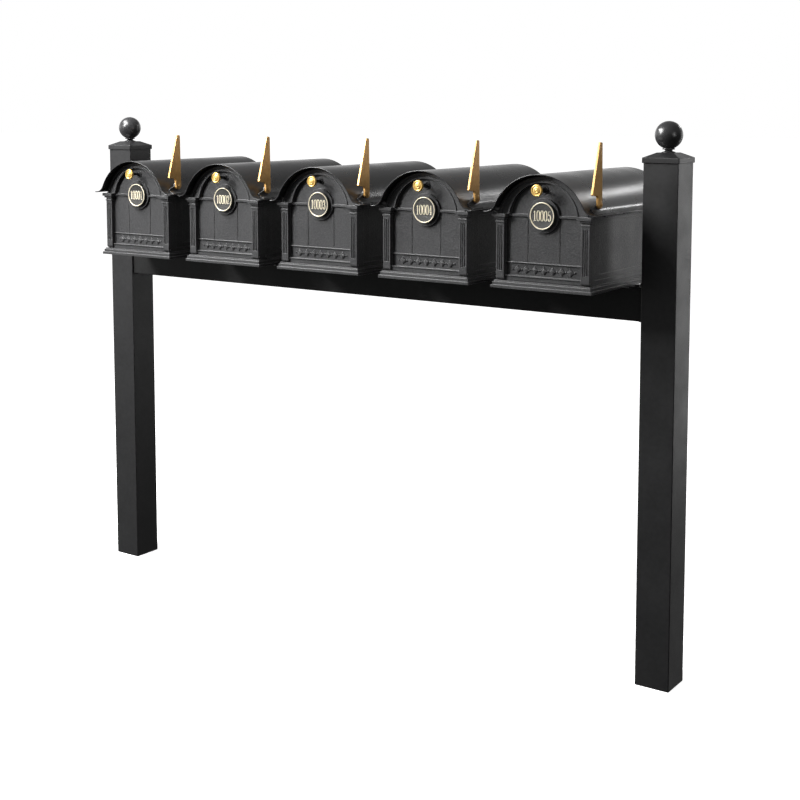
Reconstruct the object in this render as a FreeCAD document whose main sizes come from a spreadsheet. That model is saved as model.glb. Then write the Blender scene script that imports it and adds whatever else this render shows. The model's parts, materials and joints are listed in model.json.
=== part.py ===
import FreeCAD, Part
import math
import os
import re
import Sketcher

# Cluster mailbox unit: five cast aluminium mailboxes side by side on a square crossbeam, which is
# bracketed between two square posts with pyramid caps and ball finials. Millimetres, +Z up.
# X runs along the crossbeam, the doors face -Y, and the origin is on the ground below the middle
# of the unit's bounding box. Every mailbox piece is drawn about its own box: X from the middle of
# the box, Y in the unit's frame, Z up from the underside of the box's ledge.

SIZES = {
    # posts and crossbeam
    "post_spacing": 2040.0,
    "post_width": 101.6,
    "post_wall": 3.2,
    "post_height": 1470.0,
    "post_corner": 2.5,
    "post_setback": 12.5,
    "beam_width": 88.9,
    "beam_wall": 3.2,
    "beam_top": 1113.0,
    "beam_gap": 0.8,
    "tube_corner": 2.5,
    # brackets and bolts between crossbeam and posts
    "bracket_leg": 45.0,
    "bracket_width": 64.0,
    "bracket_sheet": 4.0,
    "bracket_bolt_reach": 27.0,
    "bracket_bolt_side": 18.0,
    "foot_bolt_reach": 14.0,
    "bolt_radius": 3.0,
    "bolt_hole_radius": 3.3,
    "bolt_head_radius": 6.5,
    "bolt_head_height": 5.0,
    "bolt_length": 16.0,
    # post cap and finial
    "cap_width": 108.5,
    "cap_skirt": 15.0,
    "cap_edge_top": 1473.0,
    "cap_rise": 13.0,
    "cap_table": 50.0,
    "cap_slack": 0.5,
    "cap_shell": 4.0,
    "cap_bevel": 1.5,
    "cap_seat": 2.0,
    "finial_radius": 38.0,
    "finial_centre": 47.0,
    "finial_foot_radius": 19.0,
    "finial_neck_radius": 10.0,
    "finial_collar_radius": 18.0,
    "finial_foot_height": 2.0,
    "finial_waist_radius": 9.0,
    "finial_neck_low": 5.0,
    "finial_neck_high": 6.5,
    "finial_collar_low": 8.5,
    "finial_collar_high": 10.0,
    "finial_collar_bevel": 1.5,
    "stud_radius": 4.0,
    "stud_tail": 8.0,
    # mailbox grid
    "box_pitch": 380.0,
    "box_base": 1114.0,
    # base moulding of the mailbox, named from the bottom up
    "lip_half_width": 154.0,
    "lip_front": -253.0,
    "lip_rear": 265.0,
    "lip_top": 8.0,
    "step_inset": 4.0,
    "step_top": 17.0,
    "crown_inset": 7.5,
    "ledge_top": 21.0,
    "band_half_width": 141.5,
    "band_top": 34.0,
    # shell of the mailbox
    "shell_half_width": 139.0,
    "shell_wall": 4.0,
    "shell_front": -206.0,
    "shell_rear": 255.0,
    "floor_under": 3.0,
    "floor_top": 6.0,
    "rear_sill": 5.0,
    "base_wall": 5.0,
    "nose_side_wall": 9.0,
    "nose_front_wall": 11.5,
    "nose_rear_wall": 7.0,
    "soffit_half_width": 170.0,
    "soffit_sheet": 3.0,
    "panel_recess": 1.2,
    "panel_edge": 32.0,
    "panel_low": 48.0,
    "panel_high": 190.0,
    "tab_size": 14.0,
    "tab_depth": 10.0,
    "tab_low": 30.0,
    "tab_high": 180.0,
    # roof sheet: a crown arc that turns into flared eaves
    "roof_apex": 316.0,
    "roof_radius": 150.0,
    "roof_angle": 65.0,
    "flare_radius": 32.0,
    "roof_half_width": 171.0,
    "roof_sheet": 3.0,
    "roof_front": -266.5,
    "roof_rear": 279.0,
    # door casting
    "hinge_inset": 7.0,
    "hinge_rise": 8.0,
    "hinge_pin_radius": 2.0,
    "running_gap": 0.05,
    "door_gap": 1.0,
    "door_arch_gap": 4.0,
    "pilaster_front": -243.0,
    "pilaster_half_width": 142.5,
    "pilaster_width": 25.0,
    "door_face": -230.0,
    "door_back": -226.0,
    "door_flange_rear": -208.0,
    "door_flange": 4.0,
    "spring_height": 205.0,
    "inner_arch_radius": 104.0,
    "inner_arch_centre": 188.0,
    "shoulder_depth": 8.0,
    "arch_face": -239.0,
    "bead_width": 5.0,
    "bead_rise": 2.5,
    "rim_width": 7.0,
    "rim_rise": 4.0,
    "neck_low": 180.0,
    "neck_top": 184.0,
    "neck_overhang": 2.0,
    "echinus_low": 190.0,
    "echinus_overhang": 4.5,
    "abacus_low": 196.0,
    "abacus_overhang": 9.0,
    "capital_inner_trim": 1.0,
    "impost_low": 198.0,
    "impost_face": -235.0,
    "rail_top": 33.0,
    "rail_face": -236.0,
    "rail_line_top": 36.0,
    "rail_line_face": -238.5,
    "band_line_low": 70.0,
    "band_line_top": 73.0,
    "band_line_face": -233.5,
    "plank_groove": 49.0,
    "groove_width": 2.0,
    "groove_depth": 1.4,
    "flute_spacing": 6.0,
    "flute_width": 3.2,
    "flute_depth": 2.0,
    "flute_low": 48.0,
    "flute_high": 172.0,
    "lug_middle": 129.0,
    "lug_width": 6.0,
    "lug_radius": 4.0,
    "lug_clearance": 1.5,
    "lug_play": 0.5,
    "pin_inner_gap": 1.5,
    "pin_outer_gap": 1.0,
    # knob, number plaque and catch
    "knob_height": 273.0,
    "knob_radius": 16.5,
    "knob_front": -279.0,
    "knob_stem_radius": 5.0,
    "knob_foot_radius": 9.0,
    "knob_foot_edge": 1.5,
    "knob_foot_height": 4.0,
    "knob_neck_depth": 25.0,
    "knob_swell_depth": 21.0,
    "knob_back_depth": 16.0,
    "knob_back_inset": 2.0,
    "knob_back_round": 8.0,
    "knob_belly_rear": 10.0,
    "knob_belly_front": 7.0,
    "knob_front_round": 6.0,
    "knob_face_inset": 4.5,
    "knob_face_rise": 1.5,
    "knob_tail_radius": 3.9,
    "rosette_radius": 12.0,
    "rosette_face": -232.0,
    "knob_hole_radius": 4.0,
    "knob_tail": -214.0,
    "plaque_height": 203.0,
    "plaque_radius": 38.5,
    "plaque_rim": 3.5,
    "plaque_field": -243.0,
    "plaque_front": -245.0,
    "boss_radius": 47.5,
    "boss_face": -236.0,
    "catch_half_width": 10.0,
    "catch_gap": 0.5,
    "catch_depth": 7.5,
    "catch_strap": 3.0,
    "catch_low": 264.0,
    "catch_height": 18.0,
    "catch_foot": 21.0,
    # signal flag and its bracket
    "flag_middle": 148.6,
    "flag_sheet": 7.0,
    "flag_pivot_depth": -201.5,
    "flag_pivot_height": 237.0,
    "flag_end_radius": 11.5,
    "flag_length": 165.0,
    "flag_tip_front": -5.0,
    "flag_tip_rear": 9.0,
    "flag_shoulder": 26.0,
    "flag_shoulder_front": -44.0,
    "flag_tip_bevel": 3.0,
    "flag_corner_bevel": 2.0,
    "flag_notch": 10.0,
    "flag_boss_radius": 10.0,
    "flag_boss_rise": 1.5,
    "flag_screw_radius": 2.5,
    "flag_screw_head": 2.8,
    "flag_screw_gap": 0.6,
    "flag_screw_inset": 0.5,
    "ear_inner": 139.0,
    "ear_outer": 144.5,
    "saddle_front": -237.0,
    "saddle_rear": -186.0,
    "saddle_outer": 162.0,
    "saddle_sheet": 3.0,
    "wedge_height": 226.0,
    # mounting plate and small screws
    "plate_half_width": 110.0,
    "plate_half_depth": 110.0,
    "plate_corner": 10.0,
    "plate_bolt_side": 90.0,
    "plate_bolt_depth": 85.0,
    "beam_bolt_side": 60.0,
    "floor_bolt_head": 4.0,
    "floor_bolt_drop": 12.0,
    "nut_radius": 5.5,
    "screw_radius": 1.8,
    "screw_hole_radius": 2.2,
    "screw_head_radius": 3.8,
    "screw_head_height": 2.2,
    "soffit_screw_side": 162.0,
    "soffit_screw_reach": 204.0,
    "soffit_screw_middle": 24.0,
    "back_sheet": 3.0,
    "back_emboss": 1.0,
    "back_gap": 0.5,
    "emboss_margin": 30.0,
    "screw_cover": 0.5,
    "screw_end_gap": 0.1,
    # how far a cut runs past a surface, and how far joined material overlaps
    "overrun": 1.0,
}

BOXES = (1, 2, 3, 4, 5)
MIDDLE_BOX = 3
SIDES = (-1, 1)

# Heights and depths that follow from the driving sizes
HINGE_DEPTH = "(pilaster_front + hinge_inset)"
HINGE_HEIGHT = "(ledge_top + hinge_rise)"
DOOR_FOOT = "(ledge_top + door_gap)"
ROOF_CENTRE = "(roof_apex - roof_radius)"
FLARE_SIDE = "((roof_radius + flare_radius) * sin(roof_angle))"
FLARE_CENTRE = f"({ROOF_CENTRE} + (roof_radius + flare_radius) * cos(roof_angle))"
EAVE_TOP = f"({FLARE_CENTRE} - flare_radius)"
EAVE_UNDER = f"({EAVE_TOP} - roof_sheet)"
DOOR_ARCH = "(roof_radius - roof_sheet - door_arch_gap)"
PILASTER_INNER = "(pilaster_half_width - pilaster_width)"
CAP_TOP = "(cap_edge_top + cap_rise)"
BEAM_FOOT = "(beam_top - beam_width)"
POST_FACE = "(post_spacing / 2 - post_width / 2)"
PLATE_UNDER = "(beam_top - box_base)"

WORD = re.compile(r"[a-z][a-z_]+")

# Lengths up to NOTHING mm count as zero, and a pocket has to remove LEAST_CUT mm3
NOTHING = 1e-9
LEAST_CUT = 0.5

# Each sketch plane: the role of the body's origin plane, and the way its normal points
PLANES = {"XY": ("XY_Plane", 1), "XZ": ("XZ_Plane", -1), "YZ": ("YZ_Plane", 1)}

doc = FreeCAD.newDocument("cluster_mailbox")
sheet = doc.addObject("Spreadsheet::Sheet", "Sizes")
sub_parts = []


def fill_sheet():
    """Writes every driving size into the sheet, with its name as the alias."""
    for row, (name, size) in enumerate(SIZES.items(), start=1):
        sheet.set(f"A{row}", name)
        sheet.set(f"B{row}", str(size))
        sheet.setAlias(f"B{row}", name)
    doc.recompute()


def bound(text):
    """Turns the size names in an expression into references to the sheet."""
    return WORD.sub(lambda found: "Sizes." * (found.group() in SIZES) + found.group(), text)


def value(text):
    """The number that an expression stands for now."""
    return float(doc.Sizes.evalExpression(bound(text)))


# ---- sketches ------------------------------------------------------------------------------

def rectangle(left, right, low, high):
    """Corners of a rectangle."""
    return [(left, low), (right, low), (right, high), (left, high)]


def rounded_rectangle(half_x, half_y, radius, middle_y="0"):
    """Corners of a rectangle with rounded corners, centred at X 0 and middle_y."""
    right, left = half_x, f"-({half_x})"
    high, low = f"{middle_y} + {half_y}", f"{middle_y} - ({half_y})"
    return [
        (f"{left} + {radius}", low), (f"{right} - {radius}", low, radius, "left"),
        (right, f"{low} + {radius}"), (right, f"{high} - {radius}", radius, "left"),
        (f"{right} - {radius}", high), (f"{left} + {radius}", high, radius, "left"),
        (left, f"{high} - {radius}"), (left, f"{low} + {radius}", radius, "left"),
    ]


def across(side, low, high):
    """The X range low to high on the right (1), or its mirror image on the left (-1)."""
    return (low, high) if side > 0 else (f"-({high})", f"-({low})")


def arc_between(start, end, radius, turn):
    """A counter-clockwise arc between two points, and whether it starts at the first one.
    A path that turns left round the arc's centre follows it counter-clockwise."""
    chord = end - start
    middle = (start + end) * 0.5
    normal = FreeCAD.Vector(-chord.y, chord.x, 0).normalize()
    reach = max(radius ** 2 - (chord.Length / 2) ** 2, 0.0) ** 0.5
    centre = middle + normal * (reach if turn == "left" else -reach)
    circle = Part.Circle(centre, FreeCAD.Vector(0, 0, 1), radius)
    first, last = (start, end) if turn == "left" else (end, start)
    begin = circle.parameter(first)
    finish = circle.parameter(last)
    if finish <= begin:
        finish += 2 * math.pi
    return Part.ArcOfCircle(circle, begin, finish), turn == "left"


def hold(sketch, kind, curve, point, text):
    """Fixes one coordinate of a point to an expression."""
    number = value(text)
    if abs(number) < NOTHING:
        axis = -2 if kind == "DistanceX" else -1
        sketch.addConstraint(Sketcher.Constraint("PointOnObject", curve, point, axis))
        return
    index = sketch.addConstraint(Sketcher.Constraint(kind, -1, 1, curve, point, number))
    sketch.setExpression(f"Constraints[{index}]", bound(text))


def draw_outline(sketch, corners):
    """Draws a closed outline. A corner is (x, y), or (x, y, radius, turn) where an arc leaves it."""
    places = [FreeCAD.Vector(value(corner[0]), value(corner[1]), 0) for corner in corners]
    ends = []
    for corner, start, end in zip(corners, places, places[1:] + places[:1]):
        if len(corner) == 2:
            curve = sketch.addGeometry(Part.LineSegment(start, end))
            ends.append((curve, 1, 2))
            continue
        arc, forward = arc_between(start, end, value(corner[2]), corner[3])
        curve = sketch.addGeometry(arc)
        ends.append((curve, 1, 2) if forward else (curve, 2, 1))
    for number, (curve, start, _) in enumerate(ends):
        before, _, finish = ends[number - 1]
        sketch.addConstraint(Sketcher.Constraint("Coincident", before, finish, curve, start))
    for corner, (curve, start, _) in zip(corners, ends):
        hold(sketch, "DistanceX", curve, start, corner[0])
        hold(sketch, "DistanceY", curve, start, corner[1])
        if len(corner) > 2:
            index = sketch.addConstraint(Sketcher.Constraint("Radius", curve, value(corner[2])))
            sketch.setExpression(f"Constraints[{index}]", bound(corner[2]))


def draw_circle(sketch, across_text, up_text, radius):
    """Draws a circle from three expressions."""
    centre = FreeCAD.Vector(value(across_text), value(up_text), 0)
    curve = sketch.addGeometry(Part.Circle(centre, FreeCAD.Vector(0, 0, 1), value(radius)))
    hold(sketch, "DistanceX", curve, 3, across_text)
    hold(sketch, "DistanceY", curve, 3, up_text)
    index = sketch.addConstraint(Sketcher.Constraint("Radius", curve, value(radius)))
    sketch.setExpression(f"Constraints[{index}]", bound(radius))


def sketch_on(body, plane, offset, shapes):
    """A sketch on one of the body's own origin planes. A list is an outline, a tuple a circle."""
    role = PLANES[plane][0]
    sketch = body.newObject("Sketcher::SketchObject", f"{body.Name}_sketch")
    base = [item for item in body.Origin.OriginFeatures if item.Role == role][0]
    sketch.AttachmentSupport = (base, [""])
    sketch.MapMode = "FlatFace"
    sketch.setExpression("AttachmentOffset.Base.z", bound(offset))
    for shape in shapes:
        if isinstance(shape, list):
            draw_outline(sketch, shape)
        else:
            draw_circle(sketch, *shape)
    return sketch


# ---- features ------------------------------------------------------------------------------

def loose_body(name, x="0", y="0", z="0"):
    """A body with its place in the unit."""
    body = doc.addObject("PartDesign::Body", name)
    body.Label = name
    for axis, text in (("x", x), ("y", y), ("z", z)):
        body.setExpression(f"Placement.Base.{axis}", bound(text))
    return body


def new_body(name, x="0", y="0", z="0"):
    """A body that is a sub-part of its own."""
    body = loose_body(name, x, y, z)
    sub_parts.append(body)
    return body


def pad(body, plane, low, high, shapes):
    """Adds material between two positions along the plane's axis."""
    forward = PLANES[plane][1] > 0
    sketch = sketch_on(body, plane, low if forward else f"-({high})", shapes)
    feature = body.newObject("PartDesign::Pad", f"{body.Name}_pad")
    feature.Profile = sketch
    feature.setExpression("Length", bound(f"({high}) - ({low})"))
    return feature


def pocket(body, plane, low, high, shapes):
    """Removes material between two positions along the plane's axis."""
    forward = PLANES[plane][1] > 0
    sketch = sketch_on(body, plane, high if forward else f"-({low})", shapes)
    feature = body.newObject("PartDesign::Pocket", f"{body.Name}_pocket")
    feature.Profile = sketch
    feature.setExpression("Length", bound(f"({high}) - ({low})"))
    return feature


def revolve(body, plane, outline):
    """Turns an outline about the sketch's own vertical axis."""
    sketch = sketch_on(body, plane, "0", [outline])
    feature = body.newObject("PartDesign::Revolution", f"{body.Name}_turning")
    feature.Profile = sketch
    feature.ReferenceAxis = (sketch, ["V_Axis"])
    feature.Angle = 360
    return feature


def loft(body, kind, sections):
    """Joins outlines on two XY planes. kind is Additive or Subtractive."""
    sketches = [sketch_on(body, "XY", height, [outline]) for height, outline in sections]
    feature = body.newObject(f"PartDesign::{kind}Loft", f"{body.Name}_loft")
    feature.Profile = sketches[0]
    feature.Sections = sketches[1:]
    feature.Ruled = True
    return feature


# ---- loose pieces that share a node --------------------------------------------------------

TURN_TO = {
    "X": FreeCAD.Rotation(FreeCAD.Vector(0, 0, 1), FreeCAD.Vector(1, 0, 0)),
    "Y": FreeCAD.Rotation(FreeCAD.Vector(0, 0, 1), FreeCAD.Vector(0, 1, 0)),
    "Z": FreeCAD.Rotation(),
}


def rod(name, axis, radius, low, high, middle):
    """A cylinder along an axis. middle is its (x, y, z); the entry on the axis is left out."""
    solid = doc.addObject("Part::Cylinder", name)
    solid.Placement = FreeCAD.Placement(FreeCAD.Vector(), TURN_TO[axis])
    solid.setExpression("Radius", bound(radius))
    solid.setExpression("Height", bound(f"({high}) - ({low})"))
    for letter, text in zip("XYZ", middle):
        place = low if letter == axis else text
        solid.setExpression(f"Placement.Base.{letter.lower()}", bound(place))
    return solid


def block(name, x_range, y_range, z_range):
    """A box between pairs of expressions."""
    solid = doc.addObject("Part::Box", name)
    ranges = (("Length", "x", x_range), ("Width", "y", y_range), ("Height", "z", z_range))
    for side, axis, (low, high) in ranges:
        solid.setExpression(side, bound(f"({high}) - ({low})"))
        solid.setExpression(f"Placement.Base.{axis}", bound(low))
    return solid


def fused(name, solids):
    """One solid from several that touch."""
    joined = doc.addObject("Part::MultiFuse", name)
    joined.Shapes = solids
    joined.Refine = True
    return joined


def grouped(name, solids):
    """A sub-part that is a group of separate, identical solids."""
    group = doc.addObject("Part::Compound", name)
    group.Label = name
    group.Links = solids
    sub_parts.append(group)
    return group


def headed(name, axis, radius, low, high, head_radius, head_from, head_to, middle):
    """A screw or bolt: a shank from low to high with a head at one end."""
    shank = rod(f"{name}_shank", axis, radius, low, high, middle)
    head = rod(f"{name}_head", axis, head_radius, head_from, head_to, middle)
    return fused(name, [shank, head])


# ---- frame: posts, caps, finials, crossbeam and brackets ------------------------------------

def bracket_bolt_spots():
    """(y, z) of the four bolts that go through a post's inner face."""
    heights = ("beam_top + bracket_bolt_reach", f"{BEAM_FOOT} + beam_wall + bracket_bolt_reach")
    return [(f"{side} * bracket_bolt_side", height) for height in heights for side in SIDES]


def make_post(name, side):
    """Square tube, open at the foot, with bolt holes in the face towards the crossbeam."""
    post = new_body(name, x=f"{side} * post_spacing / 2", y="-post_setback")
    outer = rounded_rectangle("post_width / 2", "post_width / 2", "post_corner")
    half = "post_width / 2 - post_wall"
    pad(post, "XY", "0", "post_height", [outer, rectangle(f"-({half})", half, f"-({half})", half)])
    holes = [(y, z, "bolt_hole_radius") for y, z in bracket_bolt_spots()]
    low, high = across(-side, f"{half} - overrun", "post_width / 2 + overrun")
    pocket(post, "YZ", low, high, holes)


def make_cap(name, side):
    """Pyramid cap whose skirt drops over the post's end."""
    cap = new_body(name, x=f"{side} * post_spacing / 2", y="-post_setback")
    skirt = rounded_rectangle("cap_width / 2", "cap_width / 2", "post_corner")
    pad(cap, "XY", "cap_edge_top - cap_skirt", "cap_edge_top", [skirt])
    brim = "cap_width / 2 - cap_bevel"
    edge = rectangle(f"-({brim})", brim, f"-({brim})", brim)
    table = rectangle("-cap_table / 2", "cap_table / 2", "-cap_table / 2", "cap_table / 2")
    loft(cap, "Additive", [("cap_edge_top", edge), (CAP_TOP, table)])
    half = "post_width / 2 + cap_slack"
    socket = rectangle(f"-({half})", half, f"-({half})", half)
    pocket(cap, "XY", "cap_edge_top - cap_skirt - overrun", "post_height", [socket])
    under = "post_width / 2 - post_wall - cap_seat"
    upper = "cap_table / 2 - cap_shell"
    loft(cap, "Subtractive", [
        ("post_height - overrun", rectangle(f"-({under})", under, f"-({under})", under)),
        (f"{CAP_TOP} - cap_shell", rectangle(f"-({upper})", upper, f"-({upper})", upper)),
    ])
    pocket(cap, "XY", "post_height", f"{CAP_TOP} + overrun",
           [("0", "0", "stud_radius + cap_slack")])


def make_finial(name, side):
    """Ball on a waisted neck, with a stud that goes through the cap."""
    finial = new_body(name, x=f"{side} * post_spacing / 2", y="-post_setback", z=CAP_TOP)
    crown = "finial_centre + finial_radius"
    collar_meets_ball = "finial_centre - sqrt(finial_radius ^ 2 - finial_collar_radius ^ 2)"
    revolve(finial, "XZ", [
        ("0", "-cap_shell - stud_tail"), ("stud_radius", "-cap_shell - stud_tail"), ("stud_radius", "0"),
        ("finial_foot_radius", "0"),
        ("finial_foot_radius", "finial_foot_height", "finial_waist_radius", "right"),
        ("finial_neck_radius", "finial_neck_low"), ("finial_neck_radius", "finial_neck_high"),
        ("finial_collar_radius - finial_collar_bevel", "finial_collar_low"),
        ("finial_collar_radius", "finial_collar_high"),
        ("finial_collar_radius", collar_meets_ball, "finial_radius", "left"),
        ("finial_radius", "finial_centre", "finial_radius", "left"), ("0", crown),
    ])


def make_crossbeam():
    """Square tube between the posts, drilled for the mailboxes and the brackets."""
    beam = new_body("crossbeam", y="-post_setback")
    half = "beam_width / 2"
    inner = "beam_width / 2 - beam_wall"
    middle = f"(beam_top - {half})"
    tube = rounded_rectangle(half, half, "tube_corner", middle)
    bore = rectangle(f"-({inner})", inner, f"{middle} - ({inner})", f"{middle} + {inner}")
    end = f"{POST_FACE} - beam_gap"
    pad(beam, "YZ", f"-({end})", end, [tube, bore])
    top_holes = []
    for box in BOXES:
        for side in SIDES:
            x = f"{box - MIDDLE_BOX} * box_pitch + {side} * beam_bolt_side"
            top_holes.append((x, "0", "bolt_hole_radius"))
    foot_holes = []
    for end_side in SIDES:
        for side in SIDES:
            y = f"{side} * bracket_bolt_side"
            top_holes.append((f"{end_side} * ({POST_FACE} - bracket_bolt_reach)", y, "bolt_hole_radius"))
            foot_holes.append((f"{end_side} * ({POST_FACE} - foot_bolt_reach)", y, "bolt_hole_radius"))
    pocket(beam, "XY", "beam_top - beam_wall - overrun", "beam_top + overrun", top_holes)
    pocket(beam, "XY", f"{BEAM_FOOT} - overrun", f"{BEAM_FOOT} + beam_wall + overrun", foot_holes)


def make_bracket(name, side, floor, bolt_reach):
    """Angle bracket: one leg lies at the height floor, the other stands against the post."""
    bracket = loose_body(name, y="-post_setback", z=floor)
    inner, outer = across(side, f"{POST_FACE} - bracket_leg", POST_FACE)
    width = ("-bracket_width / 2", "bracket_width / 2")
    pad(bracket, "XY", "0", "bracket_sheet", [rectangle(inner, outer, *width)])
    inner, outer = across(side, f"{POST_FACE} - bracket_sheet", POST_FACE)
    pad(bracket, "XY", "0", "bracket_leg", [rectangle(inner, outer, *width)])
    flat_holes = []
    upright_holes = []
    for across_side in SIDES:
        y = f"{across_side} * bracket_bolt_side"
        flat_holes.append((f"{side} * ({POST_FACE} - {bolt_reach})", y, "bolt_hole_radius"))
        upright_holes.append((y, "bracket_bolt_reach", "bolt_hole_radius"))
    pocket(bracket, "XY", "-overrun", "bracket_sheet + overrun", flat_holes)
    low, high = across(side, f"{POST_FACE} - bracket_sheet - overrun", f"{POST_FACE} + overrun")
    pocket(bracket, "YZ", low, high, upright_holes)
    return bracket


def make_beam_brackets(name, side):
    """One bracket on top of the crossbeam and one inside it, on its lower wall."""
    upper = make_bracket(f"{name}_upper", side, "beam_top", "bracket_bolt_reach")
    lower = make_bracket(f"{name}_lower", side, f"{BEAM_FOOT} + beam_wall", "foot_bolt_reach")
    grouped(name, [upper, lower])


def make_beam_bolts():
    """Sixteen bolts: two through each leg of each bracket."""
    bolts = []
    for side in SIDES:
        for along in SIDES:
            y = f"-post_setback + {along} * bracket_bolt_side"
            top_x = f"{side} * ({POST_FACE} - bracket_bolt_reach)"
            foot_x = f"{side} * ({POST_FACE} - foot_bolt_reach)"
            seat = "beam_top + bracket_sheet"
            bolts.append(headed("top_bolt", "Z", "bolt_radius", f"{seat} - bolt_length", seat,
                                "bolt_head_radius", seat, f"{seat} + bolt_head_height", (top_x, y, "")))
            bolts.append(headed("foot_bolt", "Z", "bolt_radius", BEAM_FOOT, f"{BEAM_FOOT} + bolt_length",
                                "bolt_head_radius", f"{BEAM_FOOT} - bolt_head_height", BEAM_FOOT,
                                (foot_x, y, "")))
        for y, z in bracket_bolt_spots():
            seat = f"{POST_FACE} - bracket_sheet"
            shank = across(side, seat, f"{seat} + bolt_length")
            head = across(side, f"{seat} - bolt_head_height", seat)
            bolts.append(headed("post_bolt", "X", "bolt_radius", *shank, "bolt_head_radius", *head,
                                ("", f"-post_setback + {y}", z)))
    grouped("beam_bolts", bolts)


# ---- mailbox -------------------------------------------------------------------------------

def box_body(name, box, x="0", y="0", z="0"):
    """A sub-part of one mailbox, placed by its box number."""
    return new_body(f"{name}_{box}", f"{box - MIDDLE_BOX} * box_pitch + {x}", y, f"box_base + {z}")


def floor_bolt_spots():
    """(x, y) of the six bolts through a mailbox floor: two into the beam, four round the plate."""
    spots = [(f"{side} * beam_bolt_side", "-post_setback") for side in SIDES]
    for side in SIDES:
        for along in SIDES:
            spots.append((f"{side} * plate_bolt_side", f"-post_setback + {along} * plate_bolt_depth"))
    return spots


def soffit_screw_spots():
    """(x, y) of the screws that hold the roof to the soffits."""
    return [(f"{side} * soffit_screw_side", f"soffit_screw_middle + {step} * soffit_screw_reach")
            for side in SIDES for step in (-1, 0, 1)]


def back_screw_spots():
    """(x, z) of the screws that hold the back panel to the shell's tabs."""
    reach = "(shell_half_width - shell_wall - tab_size / 2)"
    return [(f"{side} * {reach}", f"{height} + tab_size / 2")
            for side in SIDES for height in ("tab_low", "tab_high")]


def make_mailbox_body(box):
    """Floor, side walls and soffits in one casting on a stepped base moulding, open at front and back."""
    body = box_body("mailbox_body", box)
    lip = rectangle("-lip_half_width", "lip_half_width", "lip_front", "lip_rear")
    pad(body, "XY", "0", "lip_top", [lip])
    step = rectangle("-lip_half_width + step_inset", "lip_half_width - step_inset",
                     "lip_front + step_inset", "lip_rear - step_inset")
    pad(body, "XY", "lip_top", "step_top", [step])
    crown = rectangle("-lip_half_width + crown_inset", "lip_half_width - crown_inset",
                      "lip_front + crown_inset", "lip_rear - crown_inset")
    pad(body, "XY", "step_top", "ledge_top", [crown])
    band = rectangle("-band_half_width", "band_half_width", "shell_front", "shell_rear")
    pad(body, "XY", "ledge_top", "band_top", [band])
    walls = rectangle("-shell_half_width", "shell_half_width", "shell_front", "shell_rear")
    pad(body, "XY", "band_top", f"{EAVE_UNDER} - soffit_sheet", [walls])
    soffit = rectangle("-soffit_half_width", "soffit_half_width", "shell_front", "shell_rear")
    pad(body, "XY", f"{EAVE_UNDER} - soffit_sheet", EAVE_UNDER, [soffit])

    room = "(shell_half_width - shell_wall)"
    sill = "shell_rear - rear_sill"
    pocket(body, "XY", "floor_top", f"{EAVE_UNDER} + overrun",
           [rectangle(f"-{room}", room, "shell_front - overrun", sill)])
    pocket(body, "XY", "ledge_top", f"{EAVE_UNDER} + overrun",
           [rectangle(f"-{room}", room, f"{sill} - overrun", "shell_rear + overrun")])
    hollow = rectangle("-lip_half_width + base_wall", "lip_half_width - base_wall",
                       "lip_front + base_wall", "lip_rear - base_wall")
    pocket(body, "XY", "-overrun", "floor_under", [hollow])
    nose = rectangle("-lip_half_width + nose_side_wall", "lip_half_width - nose_side_wall",
                     "lip_front + nose_front_wall", "shell_front - nose_rear_wall")
    pocket(body, "XY", "floor_under - overrun", "step_top", [nose])

    field = rectangle("shell_front + panel_edge", "shell_rear - panel_edge", "panel_low", "panel_high")
    for side in SIDES:
        low, high = across(side, "shell_half_width - panel_recess", "shell_half_width + overrun")
        pocket(body, "YZ", low, high, [field])

    add_hinge_lugs(body)
    add_back_tabs(body)
    pocket(body, "XY", f"{EAVE_UNDER} - soffit_sheet - overrun", f"{EAVE_UNDER} + overrun",
           [(x, y, "screw_hole_radius") for x, y in soffit_screw_spots()])
    pocket(body, "XY", "floor_under - overrun", "floor_top + overrun",
           [(x, y, "bolt_hole_radius") for x, y in floor_bolt_spots()])


def add_hinge_lugs(body):
    """Two lugs that reach from the sill into the door's foot and carry the hinge pins."""
    lug = [
        (HINGE_DEPTH, f"{HINGE_HEIGHT} + lug_radius", "lug_radius", "left"),
        (f"{HINGE_DEPTH} - lug_radius", HINGE_HEIGHT, "lug_radius", "left"),
        (HINGE_DEPTH, f"{HINGE_HEIGHT} - lug_radius"),
        (f"{HINGE_DEPTH} + hinge_rise", f"{HINGE_HEIGHT} - lug_radius"),
        (f"{HINGE_DEPTH} + hinge_rise", "ledge_top - overrun"),
        ("shell_front - overrun", "ledge_top - overrun"),
        ("shell_front - overrun", f"{HINGE_HEIGHT} + lug_radius"),
    ]
    for side in SIDES:
        low, high = across(side, "lug_middle - lug_width / 2", "lug_middle + lug_width / 2")
        pad(body, "YZ", low, high, [lug])
        pocket(body, "YZ", f"{low} - overrun", f"{high} + overrun",
               [(HINGE_DEPTH, HINGE_HEIGHT, "hinge_pin_radius")])


def add_back_tabs(body):
    """Four drilled tabs inside the rear corners."""
    room = "(shell_half_width - shell_wall)"
    tabs = []
    for side in SIDES:
        low, high = across(side, f"{room} - tab_size", f"{room} + overrun")
        for foot in ("tab_low", "tab_high"):
            tabs.append(rectangle(low, high, foot, f"{foot} + tab_size"))
    pad(body, "XZ", "shell_rear - tab_depth", "shell_rear", tabs)
    pocket(body, "XZ", "shell_rear - tab_depth - overrun", "shell_rear + overrun",
           [(x, z, "screw_radius") for x, z in back_screw_spots()])


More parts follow.
